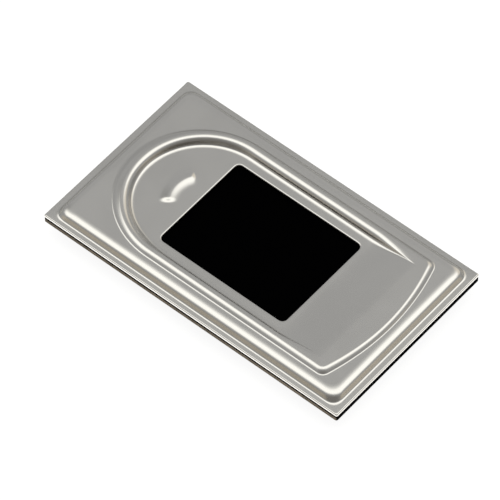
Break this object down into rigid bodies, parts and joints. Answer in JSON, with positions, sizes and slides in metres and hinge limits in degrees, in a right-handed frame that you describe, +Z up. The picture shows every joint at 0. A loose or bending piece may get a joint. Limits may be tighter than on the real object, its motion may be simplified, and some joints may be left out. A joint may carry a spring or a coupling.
{
  "type": "fingerprint scanner terminal",
  "caption": "Slim panel-mount fingerprint scanner: stamped steel bezel with a finger channel and locating bead over a black sensor window, circuit board and rear tray.",
  "frame": {"origin": "centre of the rear tray's flat underside, the lowest plane of the module", "axes": "+Z up out of the sensor window, +Y along the plate towards the channel's round fingertip end, so the finger enters from -Y; +X to the right"},
  "size_m": [0.0294, 0.05, 0.0052],
  "materials": {
    "satin_steel": "satin bead-blasted stainless steel",
    "adhesive_black": "black foam tape",
    "gasket_rubber": "matt black rubber",
    "sensor_black": "black coated sensor surface",
    "gasket_foam": "black closed-cell foam",
    "foam_grey": "grey closed-cell foam",
    "black_plastic": "fine moulded texture",
    "polyimide_amber": "amber polyimide film with copper tracks",
    "board_black": "black solder mask over glass-epoxy",
    "plated_gold": "gold plating",
    "chip_moulding": "matt epoxy moulding",
    "crystal_can": "plated steel can",
    "ferrite_grey": "sintered ferrite",
    "ceramic_tan": "fired ceramic with tinned ends",
    "connector_ivory": "ivory moulded polymer",
    "latch_brown": "dark brown moulded polymer",
    "film_white": "matt white polyester film",
    "standoff_brass": "turned brass",
    "screw_steel": "zinc plated steel"
  },
  "bodies": {
    "module": {"bezel": "satin_steel", "bezel_tape": "adhesive_black", "capacitor_1": "ceramic_tan", "capacitor_2": "ceramic_tan", "capacitor_3": "ceramic_tan", "capacitor_4": "ceramic_tan", "capacitor_5": "ceramic_tan", "capacitor_6": "ceramic_tan", "cover_screw_1": "screw_steel", "cover_screw_2": "screw_steel", "cover_screw_3": "screw_steel", "cover_screw_4": "screw_steel", "crystal": "crystal_can", "driver_chip": "chip_moulding", "flash_chip": "chip_moulding", "ground_spring_1": "plated_gold", "ground_spring_2": "plated_gold", "host_connector": "connector_ivory", "inductor": "ferrite_grey", "insulating_film": "film_white", "main_board": "board_black", "panel_gasket": "gasket_foam", "processor_chip": "chip_moulding", "rear_cover": "black_plastic", "regulator": "chip_moulding", "sensor_carrier": "black_plastic", "sensor_connector": "connector_ivory", "sensor_flex": "polyimide_amber", "sensor_gasket": "gasket_rubber", "sensor_glass": "sensor_black", "sensor_pad": "foam_grey", "standoff_1": "standoff_brass", "standoff_2": "standoff_brass", "standoff_3": "standoff_brass", "standoff_4": "standoff_brass"},
    "host_latch": {"host_latch": "latch_brown"},
    "sensor_latch": {"sensor_latch": "latch_brown"}
  },
  "joints": [
    {"name": "host_latch_flip", "type": "hinge", "parent": "module", "child": "host_latch", "pos_m": [0, 0.01915, 0.00162], "axis": [-1, 0, 0], "range_deg": [0, 90]},
    {"name": "sensor_latch_flip", "type": "hinge", "parent": "module", "child": "sensor_latch", "pos_m": [0, -0.01045, 0.00162], "axis": [1, 0, 0], "range_deg": [0, 90]}
  ]
}
